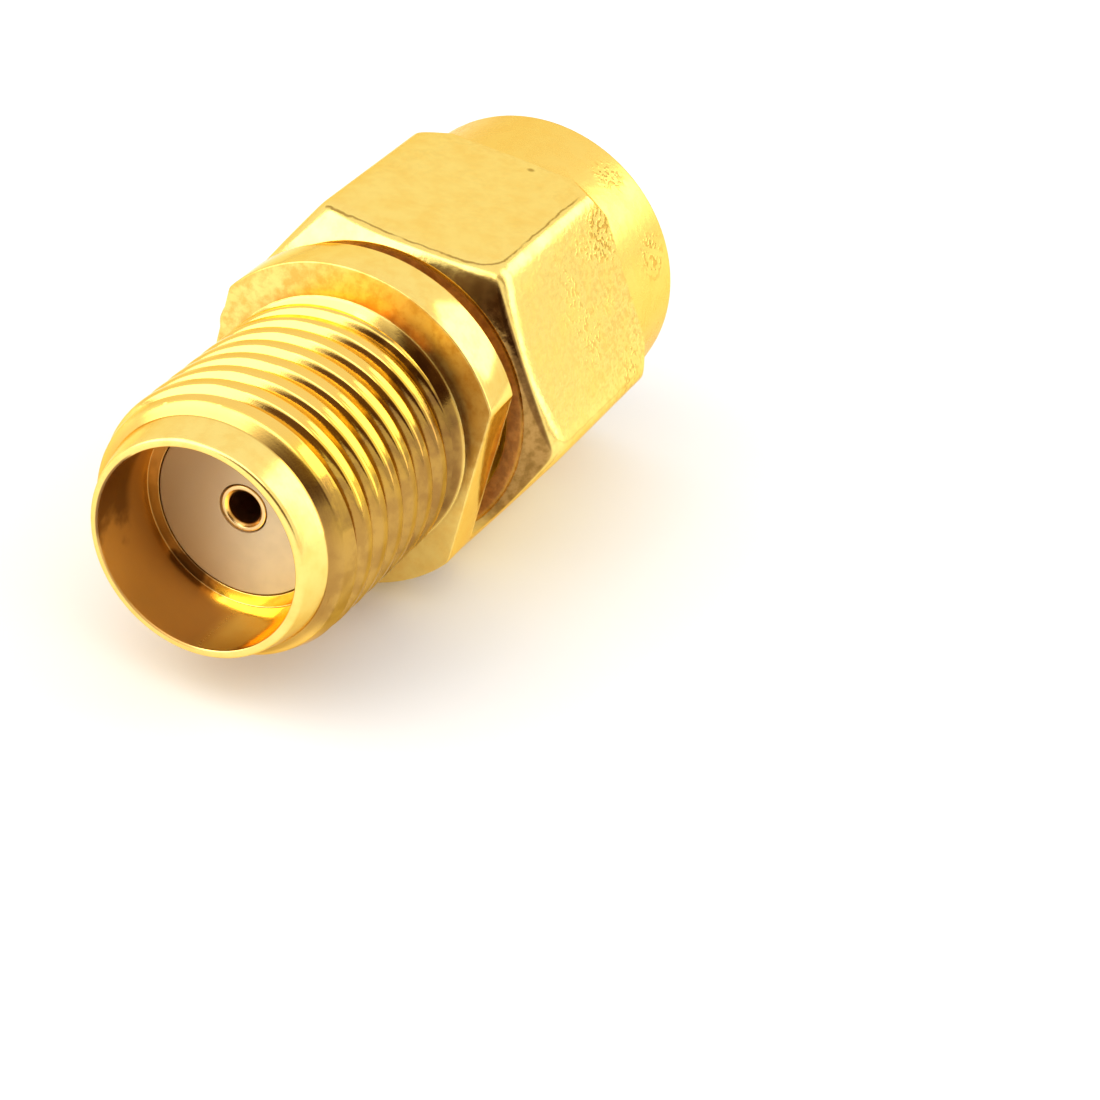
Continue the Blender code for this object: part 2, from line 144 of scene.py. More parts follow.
class BodySizes(PropertyGroup):
    counterbore_radius: length("Counterbore radius", "Bore that a mating plug's ferrule enters", 2.37)
    counterbore_depth: length("Counterbore depth", "Depth of the ledge that it seats on", 2.06)
    bore_radius: length("Bore radius", "Through hole that the beads fill", 2.09)
    nose_radius: length("Nose radius", "Outside of the jack's rim", 2.56)
    nose_flare: length("Nose flare", "How much wider its foot is", 0.19)
    nose_round: length("Nose round", "Rounding of the rim's outer edge", 0.15)
    nose_length: length("Nose length", "Length of the plain nose", 0.80)
    thread_chamfer: length("Thread chamfer", "Length of the slope to half its height", 0.20)
    thread_taper: length("Thread taper", "Length from there to the full crest", 0.50)
    thread_radius: length("Thread radius", "Radius over the crests", 3.15)
    relief_length: length("Relief length", "Width of the groove behind the thread", 0.22)
    relief_slope: length("Relief slope", "Length of its slope up to the flange", 0.28)
    relief_drop: length("Relief drop", "Its depth under the thread's root", 0.02)
    jack_length: length("Jack length", "From the rim to the flange's front", 6.45)
    flange_thickness: length("Flange thickness", "Thickness of the flange", 1.14)
    flange_radius: length("Flange radius", "Radius of the flange's round parts", 3.95)
    flat_depth: length("Flat depth", "Depth of the two wrench flats", 0.575)
    flat_turn: degrees("Flat turn", "Angle of the near wrench flat's normal", 94.67)
    neck_radius: length("Neck radius", "Neck that the nut turns on", 2.65)
    neck_groove: length("Neck groove", "Depth of the snap ring's groove in the neck", 0.37)
    ferrule_radius: length("Ferrule radius", "Outside of the plug's ferrule", 2.28)
    ferrule_length: length("Ferrule length", "Length of the ferrule past the neck", 1.45)


class NutSizes(PropertyGroup):
    hex_length: length("Hexagon length", "From the back to the ledge", 5.72)
    corner_round: length("Corner round", "Rounding of the hexagon's long edges", 0.50)
    chamfer_round: length("Chamfer round", "Rounding between the back chamfer and the flats", 0.75)
    chamfer_drop: length("Chamfer drop", "How far inside the flats it starts", 0.22)
    chamfer_angle: degrees("Chamfer angle", "Lean of the back chamfer from the back face", 30)
    taper_length: length("Taper length", "Length of the corners' taper in front", 0.62)
    taper_drop: length("Taper drop", "How much the taper takes off the corners", 0.34)
    skirt_radius: length("Skirt radius", "Radius of the round skirt", 3.74)
    rim_round: length("Rim round", "Rounding of the skirt's outer rim", 0.14)
    mouth_radius: length("Mouth radius", "Plain mouth in front of the thread", 3.23)
    mouth_depth: length("Mouth depth", "Depth of the plain mouth", 0.97)
    thread_length: length("Thread length", "Length of the inner thread", 1.90)
    thread_entry: length("Thread entry", "Chamfer at each end of the inner thread", 0.12)
    minor_radius: length("Minor radius", "Radius inside the inner thread's crests", 2.82)
    hollow_radius: length("Hollow radius", "Hollow round the gasket", 3.25)
    bore_radius: length("Bore radius", "Bore that turns on the neck", 2.73)
    groove_radius: length("Groove radius", "Snap ring's groove in the nut", 2.95)
    opening_radius: length("Opening radius", "Opening at the back", 3.12)
    opening_depth: length("Opening depth", "Depth of the opening at the back", 0.80)
    opening_chamfer: length("Opening chamfer", "Chamfer of the opening at the back", 0.20)


class InnerSizes(PropertyGroup):
    contact_radius: length("Contact radius", "Outside of the contact's sockets", 0.545)
    socket_radius: length("Socket radius", "Hole in each socket", 0.385)
    socket_depth: length("Socket depth", "Depth of each socket", 2.60)
    socket_chamfer: length("Socket chamfer", "Chamfer at the mouth of each socket", 0.07)
    slot_width: length("Slot width", "Width of the slot across the plug's socket", 0.10)
    slot_depth: length("Slot depth", "Depth of that slot", 2.20)
    collar_length: length("Collar length", "Length of the contact's collar", 0.80)
    bead_gap: length("Bead gap", "Gap round the sockets in the beads", 0.035)
    gasket_round: length("Gasket round", "Rounding of the gasket's free edges", 0.16)
    ferrule_clearance: length("Ferrule clearance", "Gap between the gasket and the ferrule", 0.02)


class FinishColors(PropertyGroup):
    gold: tint("Gold", "Plating where it is bright", (0.99, 0.745, 0.22))
    deep_gold: tint("Deep gold", "Plating where it is richer", (0.95, 0.60, 0.13))
    # Painted reflection tone on the thread's near side.
    reflection_gold: tint("Rich gold", "Plating on the thread's near side", (0.97, 0.60, 0.055))
    edge_tint: tint("Edge tint", "Plating seen at a glancing angle", (1.0, 0.80, 0.42))
    amber: tint("Amber", "Mottling on the flange's front face", (0.74, 0.42, 0.07))
    # Painted shade at the foot of the thread.
    groove: tint("Groove", "Thin plating at the foot of the thread", (0.44, 0.24, 0.06))
    # Painted shade on the low side of the thread and of the flange's front face.
    low_side_shade: tint("Low stain", "Dull plating low on the thread", (0.36, 0.19, 0.048))
    # Painted shade in the counterbore, and its darkest patch.
    bore_shade: tint("Bore stain", "Dull plating in the counterbore", (0.66, 0.38, 0.11))
    bore_dark_shade: tint("Bore patch", "Darkest patch in the counterbore", (0.27, 0.14, 0.045))
    dimple: tint("Dimple", "Foot of the nut's fine dimples", (0.76, 0.45, 0.10))
    pit: tint("Pit", "Foot of the nut's pits", (0.66, 0.40, 0.09))
    edge_line: tint("Edge line", "Fine line round the nut's top flat", (0.35, 0.19, 0.03))
    # Painted shade: the darkest spots and streaks in the counterbore, by the flange and on the chamfer.
    spot: tint("Spot", "Darkest spots and streaks", (0.13, 0.055, 0.015))
    # Painted shade on the nut's chamfer, mottled.
    chamfer_dark: tint("Chamfer, dark", "Dark spots on the nut's chamfer", (0.27, 0.145, 0.035))
    chamfer_light: tint("Chamfer, light", "Light spots on the nut's chamfer", (0.44, 0.25, 0.075))
    # Painted reddish shade on the nut's back face, mottled.
    back_shade_dark: tint("Copper, dark", "Dark spots on the nut's back face", (0.42, 0.17, 0.06))
    back_shade_pale: tint("Copper, light", "Light spots on the nut's back face", (0.66, 0.31, 0.10))
    contact: tint("Contact", "Plating of the contact", (0.92, 0.68, 0.32))
    deep_contact: tint("Deep contact", "Plating of the contact where it is richer", (0.80, 0.50, 0.20))
    # Painted shade inside the contact's sockets.
    socket: tint("Socket", "Dull plating inside the contact's sockets", (0.42, 0.17, 0.06))
    ptfe: tint("PTFE", "Beads", (0.77, 0.62, 0.40))
    # Painted shade on the jack bead's far side.
    shaded_ptfe: tint("Aged PTFE", "Darker side of the jack's bead", (0.55, 0.35, 0.165))
    rubber: tint("Rubber", "Gasket", (0.012, 0.011, 0.010))
    bronze: tint("Bronze", "Snap ring", (0.62, 0.42, 0.22))


class StageSettings(PropertyGroup):
    floor_color: tint("Floor", "Plain pale floor", (0.88, 0.88, 0.88))
    floor_size: length("Floor size", "Width of the floor", 1200)
    sky: tint("Sky", "White surroundings", (1.0, 0.99, 0.96))
    dark_side: tint("Dark side", "Dark part of the surroundings", (0.13, 0.065, 0.035))
    lamp_color: tint("Lamps", "Light of the softboxes", (1.0, 0.98, 0.95))
    lamp_distance: length("Lamp distance", "From the adapter to each softbox", 150)
    lens: FloatProperty(name="Lens", description="Focal length in millimetres", default=108.25)
    camera_offset: FloatVectorProperty(
        name="Camera offset", description="Camera's place from the middle of the jack's rim", size=3,
        subtype="TRANSLATION", unit="LENGTH", default=(-52.105 * MM, -25.012 * MM, 38.770 * MM))
    camera_turn: FloatVectorProperty(
        name="Camera turn", description="Camera's rotation", size=3, subtype="EULER",
        default=(math.radians(56.648), math.radians(-10.185), math.radians(-64.938)))


class Wire:
    """A shader socket that takes part in Python expressions: each expression adds its Math nodes."""

    def __init__(self, graph, socket):
        self.graph = graph
        self.socket = socket

    def math(self, operation, *values):
        return self.graph.node("ShaderNodeMath", {"operation": operation}, dict(enumerate(values)))

    def __add__(self, other):
        return self.math("ADD", self, other)

    def __radd__(self, other):
        return self.math("ADD", other, self)

    def __sub__(self, other):
        return self.math("SUBTRACT", self, other)

    def __rsub__(self, other):
        return self.math("SUBTRACT", other, self)

    def __mul__(self, other):
        return self.math("MULTIPLY", self, other)

    def __rmul__(self, other):
        return self.math("MULTIPLY", other, self)

    def __pow__(self, other):
        return self.math("POWER", self, other)

    def band(self, low, high, soft):
        """1 between low and high and 0 outside them, with soft edges of that width inside."""
        return self.ramp(low, low + soft) * (1 - self.ramp(high - soft, high))

    def ramp(self, low, high, start=0.0, end=1.0):
        """This value's smooth step from start to end as it goes from low to high."""
        inputs = {"Value": self, "From Min": low, "From Max": high, "To Min": start, "To Max": end}
        return self.graph.node("ShaderNodeMapRange", {"interpolation_type": "SMOOTHSTEP"}, inputs)


class Graph:
    """The node tree of one material or of the world."""

    def __init__(self, tree):
        self.tree = tree
        tree.nodes.clear()

    def node(self, kind, settings=None, inputs=None, output=0):
        """Add a node with its settings, then set or link its inputs, and return one of its outputs."""
        made = self.tree.nodes.new(kind)
        for key, value in (settings or {}).items():
            setattr(made, key, value)
        for key, value in (inputs or {}).items():
            if isinstance(value, Wire):
                self.tree.links.new(value.socket, made.inputs[key])
            else:
                made.inputs[key].default_value = value
        return Wire(self, made.outputs[output]) if made.outputs else None

    def mix_color(self, factor, first, second):
        inputs = {0: factor, 6: opaque(first), 7: opaque(second)}
        return self.node("ShaderNodeMix", {"data_type": "RGBA"}, inputs, output=2)

    def vector(self, x, y, z):
        return self.node("ShaderNodeCombineXYZ", {}, {"X": x, "Y": y, "Z": z})

    def split(self, vector):
        outputs = self.node("ShaderNodeSeparateXYZ", {}, {0: vector}).socket.node.outputs
        return [Wire(self, output) for output in outputs]

    def noise(self, vector, scale, detail, roughness):
        inputs = {"Vector": vector, "Scale": scale, "Detail": detail, "Roughness": roughness}
        return self.node("ShaderNodeTexNoise", {}, inputs)

    def bump(self, height, depth, under=None):
        """Normal of a relief of that height and depth, laid over another normal where there is one."""
        inputs = {"Height": height, "Distance": depth}
        if under is not None:
            inputs["Normal"] = under
        return self.node("ShaderNodeBump", {}, inputs)


def opaque(color):
    """A plain colour with its alpha, or a wire as it is."""
    return color if isinstance(color, Wire) else (*color, 1.0)


def x_of(station):
    """Place along X, in the shaders' millimetres, of a station."""
    return (RIM_X + station) / MM


class Surface:
    """Colour of a point of a piece, and where it is: X, Y and radius in millimetres, and angle in radians."""

    def __init__(self, graph, color):
        self.graph = graph
        self.color = color
        local = graph.node("ShaderNodeTexCoord", output=3)
        self.place = graph.node("ShaderNodeVectorMath", {"operation": "SCALE"}, {0: local, "Scale": 1 / MM})
        self.x, self.y, z = graph.split(self.place)
        height = z - AXIS_Z / MM
        self.radius = (self.y * self.y + height * height) ** 0.5
        self.angle = height.math("ARCTAN2", 0 - self.y, height)

    def coat(self, mask, color):
        """Lay a colour over the one so far, as far as the mask is 1."""
        self.color = self.graph.mix_color(mask, self.color, color)

    def noise(self, scale, detail=2.0, roughness=0.5):
        return self.graph.noise(self.place, scale, detail, roughness)

    def tool_marks(self, scale, detail, roughness=0.5):
        """Noise that is the same all round, as a cutting tool leaves it."""
        marks = self.graph.vector(self.x * scale, self.radius * scale, 0.0)
        return self.graph.noise(marks, 1.0, detail, roughness)

    def nut_spot(self, middle, turn, size):
        """Mask of a round spot of about that size on the outside of the nut."""
        along = self.x - middle
        around = (self.angle - turn) * (HALF_FLATS / MM)
        return 1 - ((along * along + around * around) ** 0.5).ramp(size * 0.3, size)


def principled(graph, inputs):
    shader = graph.node("ShaderNodeBsdfPrincipled", {}, inputs)
    graph.node("ShaderNodeOutputMaterial", {}, {"Surface": shader})


def plated(colors, at, roughness, normal):
    """Gold plating: a metal whose colour pales at a glancing angle."""
    principled(at.graph, {
        "Base Color": at.color,
        "Metallic": 1.0,
        "Specular Tint": opaque(colors.edge_tint),
        "Roughness": roughness,
        "Normal": normal,
    })


def new_material(name):
    material = bpy.data.materials.new(name)
    material.use_nodes = True
    return material, Graph(material.node_tree)


def counterbore_shading(body, at):
    """Masks of painted shade in the counterbore: its dulled part, the darkest patch on its wall and the streak
    at its ledge.
    """
    ledge = x_of(body.counterbore_depth)
    wall = body.counterbore_radius / MM
    bore = (1 - at.radius.ramp(wall + 0.03, wall + 0.07)) * (1 - at.x.ramp(ledge, ledge + 0.2))
    by_ledge = at.x.ramp(ledge - 0.5, ledge - 0.1)
    far_side = 1 - at.angle.ramp(-1.15, -0.75)
    under_side = at.angle.ramp(2.85, 3.1)
    lowest = 1 - at.angle.ramp(-3.1, -2.9)
    dulled_and_shaded = bore * (far_side * (1 - by_ledge * lowest) + under_side * (1 - by_ledge))
    wavering = at.angle + at.noise(1.5, 3.0).ramp(0.0, 1.0, 0.3, -0.3)
    patch = bore * wavering.band(-2.0, -0.75, 0.25) * (1 - at.x.ramp(ledge - 1.0, ledge - 0.6))
    streak = wavering.band(-3.05, -2.4, 0.15) * 0.8 + wavering.band(-2.5, -1.4, 0.3) * 0.45
    return dulled_and_shaded, patch, streak * bore * at.x.ramp(ledge - 0.26, ledge - 0.12)


def coat_thread(colors, body, at, outside):
    """Richer plating on the thread, a painted reflection tone on its near side, painted shade at its foot and
    low down, and spotted painted shade where it runs out.
    """
    nose_foot = x_of(body.nose_length)
    front = x_of(body.jack_length)
    crest = body.thread_radius / MM
    thread = outside * at.x.band(nose_foot - 0.06, front, 0.06)
    foot = 1 - at.radius.ramp(crest - 0.37, crest - 0.13)
    flank = 1 - at.radius.ramp(crest - 0.08, crest - 0.02)
    at.coat(thread * 0.8, colors.deep_gold)
    # Painted reflection tone on the thread's near side.
    at.coat(thread * at.angle.band(0.3, 1.4, 0.35) * 0.8, colors.reflection_gold)
    # Painted shade at the thread's foot, stronger on the near side.
    at.coat(thread * foot * at.angle.ramp(0.1, 0.5, 0.35, 0.7), colors.groove)

    spots = at.noise(1.8, 4.0, 0.6).ramp(0.38, 0.62, 0.8, 1.0)
    # Painted shade, spotted, on the thread's low side.
    slant = at.angle + (at.x - nose_foot) * 0.06 + at.noise(2.2, 3.0).ramp(0.2, 0.8, -0.12, 0.12)
    lowest = (at.angle - at.x.ramp(nose_foot, nose_foot + 1.6, 0.0, 0.5)).ramp(1.85, 2.2)
    low = (slant + flank * 0.3).ramp(0.98, 1.22) * (1 - lowest)
    low = low * at.x.ramp(front - 4.0, front - 1.2, 0.9, 1.0)
    at.coat(thread * low * spots, colors.low_side_shade)

    # Painted shade, blotched and spotted, where the thread runs out by the flange.
    run_out = outside * (1 - at.radius.ramp(crest - 0.01, crest + 0.05))
    drawn_out = at.graph.vector(at.x * 2.2, at.angle * 2.4, 0.0)
    smears = at.graph.noise(drawn_out, 1.0, 3.0, 0.6).ramp(0.42, 0.52)
    blotches = smears * at.x.band(front - 1.0, front + 0.02, 0.2) * at.angle.band(0.08, 0.85, 0.2)
    at.coat(run_out * blotches * 0.6, colors.spot)
    shadow = spots * at.x.band(front - 0.95, front + 0.02, 0.15) * at.angle.band(0.6, 2.2, 0.4)
    at.coat(run_out * shadow * 0.5, colors.spot)


def turned_gold(colors, body):
    """Plating over turned brass: tool marks, a richer thread, an amber flange, a duller counterbore, and
    painted shade in the counterbore, on the thread and by the flange.
    """
    material, graph = new_material("turned gold")
    at = Surface(graph, colors.gold)
    nose_foot = x_of(body.nose_length)
    front = x_of(body.jack_length)
    back = x_of(body.jack_length + body.flange_thickness)
    nose_rim = body.nose_radius / MM
    crest = body.thread_radius / MM
    flange_rim = body.flange_radius / MM
    outside = at.radius.ramp(nose_rim + 0.04, nose_rim + 0.12)
    rings = at.tool_marks(14.0, 3.0, 0.6)
    at.coat(at.noise(2.2, 5.0, 0.65).ramp(0.35, 0.75) * 0.6, colors.deep_gold)

    # Painted shade in the counterbore; the dulled mask also makes it rougher further down.
    dulled_and_shaded, patch, streak = counterbore_shading(body, at)
    at.coat(dulled_and_shaded, colors.bore_shade)
    at.coat(patch, colors.bore_dark_shade)
    at.coat(streak, colors.spot)
    coat_thread(colors, body, at, outside)

    face = at.x.ramp(front - 0.03, front - 0.01) * (1 - at.x.ramp(front + 0.01, front + 0.04))
    face = face * at.radius.ramp(crest - 0.25, crest - 0.15)
    mottle = at.noise(3.2, 4.0, 0.65).ramp(0.36, 0.66)
    at.coat(face * mottle * at.angle.ramp(1.4, 1.8, 0.75, 0.2), colors.amber)
    # Painted shade on the low side of the flange's front face.
    at.coat(face * at.angle.band(0.55, 1.6, 0.35) * 0.35, colors.low_side_shade)

    slope = outside * at.x.band(nose_foot - 0.04, nose_foot + 0.28, 0.07)
    nose = at.radius.ramp(nose_rim - 0.11, nose_rim - 0.06) * (1 - at.x.ramp(nose_foot - 0.1, nose_foot))
    behind = at.x.band(back - 0.2, back + 1.6, 0.2)
    behind = behind * (1 - at.radius.ramp(flange_rim - 0.09, flange_rim - 0.03))
    worn = dulled_and_shaded * 0.26 + slope * 0.12 + nose * 0.09 + face * 0.2 + behind * 0.3
    normal = graph.bump(at.noise(26.0), 0.7 * MICRON, graph.bump(rings, 1.2 * MICRON))
    plated(colors, at, rings.ramp(0.3, 0.8, 0.09, 0.15) + worn, normal)
    return material


def flat_outline(nut, at, fold, past_chamfer):
    """Mask of the fine dark line just inside each flat's long edge and along its chamfer."""
    taper_start = x_of(NUT_BACK + nut.hex_length - nut.taper_length)
    half_flats = HALF_FLATS / MM
    across = (math.radians(28.2) - fold) * half_flats
    inside = across.math("SMOOTH_MIN", past_chamfer - 0.10, across, 0.7)
    inside = inside + at.noise(3.0, 3.0).ramp(0.2, 0.8, -0.02, 0.02)
    on_flat = at.radius.ramp(half_flats - 0.07, half_flats - 0.03)
    on_flat = on_flat * (1 - at.x.ramp(taper_start - 0.6, taper_start))
    faded = at.noise(2.0, 3.0).ramp(0.30, 0.50, 0.35, 1.0)
    top = at.angle.band(-0.62, 0.62, 0.06)
    return inside.band(-0.03, 0.035, 0.03) * on_flat * faded * (top * 0.55 + 0.25)


def coat_nut_back(colors, nut, at):
    """Paint shade on the chamfer, mostly along the flats, paint reddish shade on the back face and outline the
    flats.

    Returns the masks of the chamfer and of the back face.
    """
    graph = at.graph
    back = x_of(NUT_BACK)
    chamfer_start = (HALF_FLATS - nut.chamfer_drop) / MM
    opening = (nut.opening_radius + nut.opening_chamfer) / MM
    mottle = at.noise(4.0, 4.0, 0.6).ramp(0.35, 0.65)
    past_chamfer = at.x - back - (at.radius - chamfer_start) * math.tan(nut.chamfer_angle)
    chamfer = (1 - past_chamfer.ramp(0.015, 0.06)) * at.radius.ramp(opening - 0.12, opening - 0.02)
    # Painted shade on the chamfer's near side, darkest along the flats.
    chamfer_shade = chamfer * at.angle.ramp(0.35, 0.65) * (1 - at.angle.ramp(2.0, 2.4))
    at.coat(chamfer_shade, graph.mix_color(mottle, colors.chamfer_dark, colors.chamfer_light))
    fold = at.angle.math("WRAP", at.angle, HALF_SIDE, -HALF_SIDE)
    under_flat = HALF_FLATS / MM - at.radius * fold.math("COSINE", fold)
    chamfer_edge_shade = chamfer_shade * under_flat.band(0.03, 0.22, 0.05) * (1 - at.angle.ramp(1.5, 1.6))
    at.coat(chamfer_edge_shade * 0.7, colors.spot)

    # Painted reddish shade on the back face, in the gap by the flange.
    back_face = 1 - at.x.ramp(back + 0.01, back + 0.05)
    back_face = back_face * (1 - at.radius.ramp(chamfer_start - 0.14, chamfer_start))
    at.coat(back_face * 0.9, graph.mix_color(mottle, colors.back_shade_dark, colors.back_shade_pale))
    at.coat(flat_outline(nut, at, fold, past_chamfer), colors.edge_line)
    return chamfer, back_face


def drawn_gold(colors, nut):
    """Plating over drawn stock: dimpled flats, pits towards the mouth, edge lines, and painted shade on the
    chamfer and back face.
    """
    material, graph = new_material("drawn gold")
    at = Surface(graph, colors.gold)
    hexagon_front = x_of(NUT_BACK + nut.hex_length)
    clouds = at.noise(1.6, 6.0, 0.7)
    grain = at.noise(7.5, 1.5)
    skirt = at.x.ramp(hexagon_front - 0.1, hexagon_front + 0.05)
    near_side = at.angle.ramp(0.52, 0.66) * (1 - at.angle.ramp(2.0, 2.4)) * (1 - skirt)
    towards_mouth = at.x.ramp(x_of(NUT_BACK) + 1.1, hexagon_front)
    coarse = towards_mouth * (near_side * 0.75 + 0.1) * (1 - skirt)
    rough = sum(at.nut_spot(hexagon_front + ahead, turn, size) for ahead, turn, size in ROUGH_SPOTS)
    pits = grain.ramp(0.50, 0.60) * (coarse * at.noise(0.75).ramp(0.46, 0.62) + rough)
    dimples = grain.ramp(0.46, 0.58) * (coarse * 0.3 + near_side * 0.12 + 0.03)
    ahead, turn, size = LONE_PIT
    lone_pit = at.nut_spot(hexagon_front + ahead, turn, size)

    at.coat(clouds.ramp(0.36, 0.72) * 0.55, colors.deep_gold)
    at.coat(dimples, colors.dimple)
    at.coat(skirt * 0.35, colors.deep_gold)
    at.coat(pits * 0.8, colors.pit)
    at.coat(lone_pit * 0.7, colors.edge_line)
    chamfer, back_face = coat_nut_back(colors, nut, at)

    roughness = clouds.ramp(0.3, 0.7, 0.16, 0.26) - chamfer * 0.03 + back_face * 0.28 + skirt * 0.05
    height = pits * 1.4 + grain * (coarse * 1.4 + near_side * 0.8 + 0.1)
    normal = graph.bump(height, 6.5 * MICRON, graph.bump(at.noise(6.0), 4.0 * MICRON))
    plated(colors, at, roughness, normal)
    return material


def contact_gold(colors, inner):
    """Smooth plating on the contact, rougher inside its sockets, with painted shade there."""
    material, graph = new_material("contact gold")
    at = Surface(graph, colors.contact)
    hole = inner.socket_radius / MM
    rings = at.tool_marks(30.0, 2.0)
    at.coat(rings.ramp(0.3, 0.7), colors.deep_contact)
    # Painted shade inside the sockets.
    at.coat(at.radius.ramp(hole - 0.005, hole + 0.035, 0.8, 0.0), colors.socket)
    roughness = at.radius.ramp(hole + 0.015, hole + 0.055, 0.36, 0.18)
    plated(colors, at, roughness, graph.bump(rings, 0.6 * MICRON))
    return material


def waxy_ptfe(colors):
    """PTFE: waxy, slightly see-through, with faint turning rings, and painted shade on the jack bead's far
    side.
    """
    material, graph = new_material("waxy ptfe")
    at = Surface(graph, colors.ptfe)
    rings = at.tool_marks(9.0, 3.0)
    at.coat(at.noise(2.4).ramp(0.3, 0.7), tuple(0.93 * part for part in colors.ptfe))
    # Painted shade on the jack bead's far side.
    at.coat(at.y.ramp(-0.9, 1.2) * (1 - at.x.ramp(-1.0, 1.0)), colors.shaded_ptfe)
    principled(graph, {
        "Base Color": at.color,
        "Roughness": rings.ramp(0.3, 0.7, 0.42, 0.55),
        "Subsurface Weight": 0.25,
        "Subsurface Radius": (0.30 * MM, 0.24 * MM, 0.18 * MM),
        "Subsurface Scale": 1.0,
        "Normal": graph.bump(rings, 1.0 * MICRON),
    })
    return material


def black_rubber(colors):
    """Matte moulded rubber with a fine grain."""
    material, graph = new_material("black rubber")
    at = Surface(graph, colors.rubber)
    grain = at.noise(22.0, 3.0)
    at.coat(grain.ramp(0.45, 0.75), tuple(part + 0.02 for part in colors.rubber))
    principled(graph, {
        "Base Color": at.color,
        "Roughness": grain.ramp(0.3, 0.7, 0.55, 0.75),
        "Normal": graph.bump(grain, 3.0 * MICRON),
    })
    return material


def spring_bronze(colors):
    """Bare spring bronze with drawing lines along the ring."""
    material, graph = new_material("spring bronze")
    at = Surface(graph, colors.bronze)
    lines = at.tool_marks(20.0, 2.0)
    at.coat(lines.ramp(0.3, 0.7), tuple(0.8 * part for part in colors.bronze))
    principled(graph, {
        "Base Color": at.color,
        "Metallic": 1.0,
        "Roughness": lines.ramp(0.3, 0.7, 0.30, 0.42),
        "Normal": graph.bump(lines, 1.0 * MICRON),
    })
    return material


def rounded(outline):
    """Closed outline whose corners (station, radius, round) become short curves of about that round."""
    points = []
    count = len(outline)
    for i, (station, radius, size) in enumerate(outline):
        corner = Vector((station, radius))
        before = Vector(outline[i - 1][:2]) - corner
        after = Vector(outline[(i + 1) % count][:2]) - corner
        if size == 0.0:
            points.append(corner)
            continue
        reach = size / math.tan(before.angle(after) / 2)
        start = corner + before.normalized() * min(reach, LONGEST_REACH * before.length)
        end = corner + after.normalized() * min(reach, LONGEST_REACH * after.length)
        for k in range(ARC_STEPS + 1):
            t = k / ARC_STEPS
            points.append((1 - t) ** 2 * start + 2 * t * (1 - t) * corner + t * t * end)
    return np.array([tuple(point) for point in points])


def spread(points, step):
    """The same open outline with points added so that none lie further apart than step."""
    result = [points[0]]
    for near, far in zip(points, points[1:]):
        pieces = max(1, math.ceil(np.linalg.norm(far - near) / step))
        for k in range(1, pieces + 1):
            result.append(near + (far - near) * k / pieces)
    return np.array(result)


def thread_turn(thread, crest_radius, inwards):
    """One pitch as (offset, radius) from a crest's front edge: inwards is 1 for an outer thread, else -1."""
    flank = (thread.pitch - thread.crest - thread.root) / 2
    depth = flank / math.tan(thread.half_angle)
    low = crest_radius - inwards * depth
    corners = []
    for turn in (-1, 0, 1):
        start = turn * thread.pitch
        corners.append((start, crest_radius, thread.edge))
        corners.append((start + thread.crest, crest_radius, thread.edge))
        corners.append((start + thread.crest + flank, low, thread.edge))
        corners.append((start + thread.crest + flank + thread.root, low, thread.edge))
    per_turn = 4 * (ARC_STEPS + 1)
    middle = rounded(corners)[per_turn:2 * per_turn + 1]
    return spread(middle, thread.pitch / THREAD_STEPS)


def threaded_zone(thread, turn, angles, start, end, envelope, inwards):
    """Stations and radii of a threaded stretch for each angle, cut off by the envelope and at both ends."""
    first = math.floor((start - thread.front) / thread.pitch) - 2
    last = math.ceil((end - thread.front) / thread.pitch) + 1
    offsets = np.concatenate([turn[:-1, 0] + k * thread.pitch for k in range(first, last)])
    advance = thread.front + thread.pitch * np.array(angles)[:, None] / TAU
    stations = np.clip(advance + offsets[None, :], start, end)
    phase = np.mod(stations - advance - turn[0, 0], thread.pitch) + turn[0, 0]
    radii = np.interp(phase, turn[:, 0], turn[:, 1])
    limit = envelope(stations)
    radii = np.minimum(radii, limit) if inwards > 0 else np.maximum(radii, limit)
    return stations, radii


def new_object(name, data):
    thing = bpy.data.objects.new(name, data)
    bpy.context.scene.collection.objects.link(thing)
    return thing


def finished_mesh(name, bm):
    mesh = bpy.data.meshes.new(name)
    bm.to_mesh(mesh)
    bm.free()
    return mesh


def skin(name, angles, columns, material, body, node):
    """Mesh through closed outlines that stand at the given angles, the last one a full turn on."""
    outlines = np.array(columns)
    turns = np.array(angles)[:, None]
    radii = outlines[:, :, 1]
    place = np.stack(
        [RIM_X + outlines[:, :, 0], -radii * np.sin(turns), AXIS_Z + radii * np.cos(turns)], axis=-1)
    rows, count = radii.shape
    first = np.arange(rows - 1)[:, None] * count
    along = np.arange(count)[None, :]
    here = (first + along).ravel()
    beside = (first + (along + 1) % count).ravel()
    faces = np.stack([here, beside, beside + count, here + count], axis=1)
    mesh = bpy.data.meshes.new(name)
    mesh.from_pydata(place.reshape(-1, 3).tolist(), [], faces.tolist())
    bm = bmesh.new()
    bm.from_mesh(mesh)
    bmesh.ops.remove_doubles(bm, verts=bm.verts, dist=MERGE)
    bmesh.ops.dissolve_degenerate(bm, dist=MERGE, edges=bm.edges)
    bmesh.ops.recalc_face_normals(bm, faces=bm.faces)
    bm.to_mesh(mesh)
    bm.free()
    mesh.materials.append(material)
    piece = new_object(name, mesh)
    shade(piece)
    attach(piece, body)
    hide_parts(node)
    return piece


def turned(name, outline, steps, material, node):
    """Piece of the body that has the same outline all round."""
    angles = full_turn(steps)
    return skin(name, angles, [rounded(outline)] * len(angles), material, "body", node)


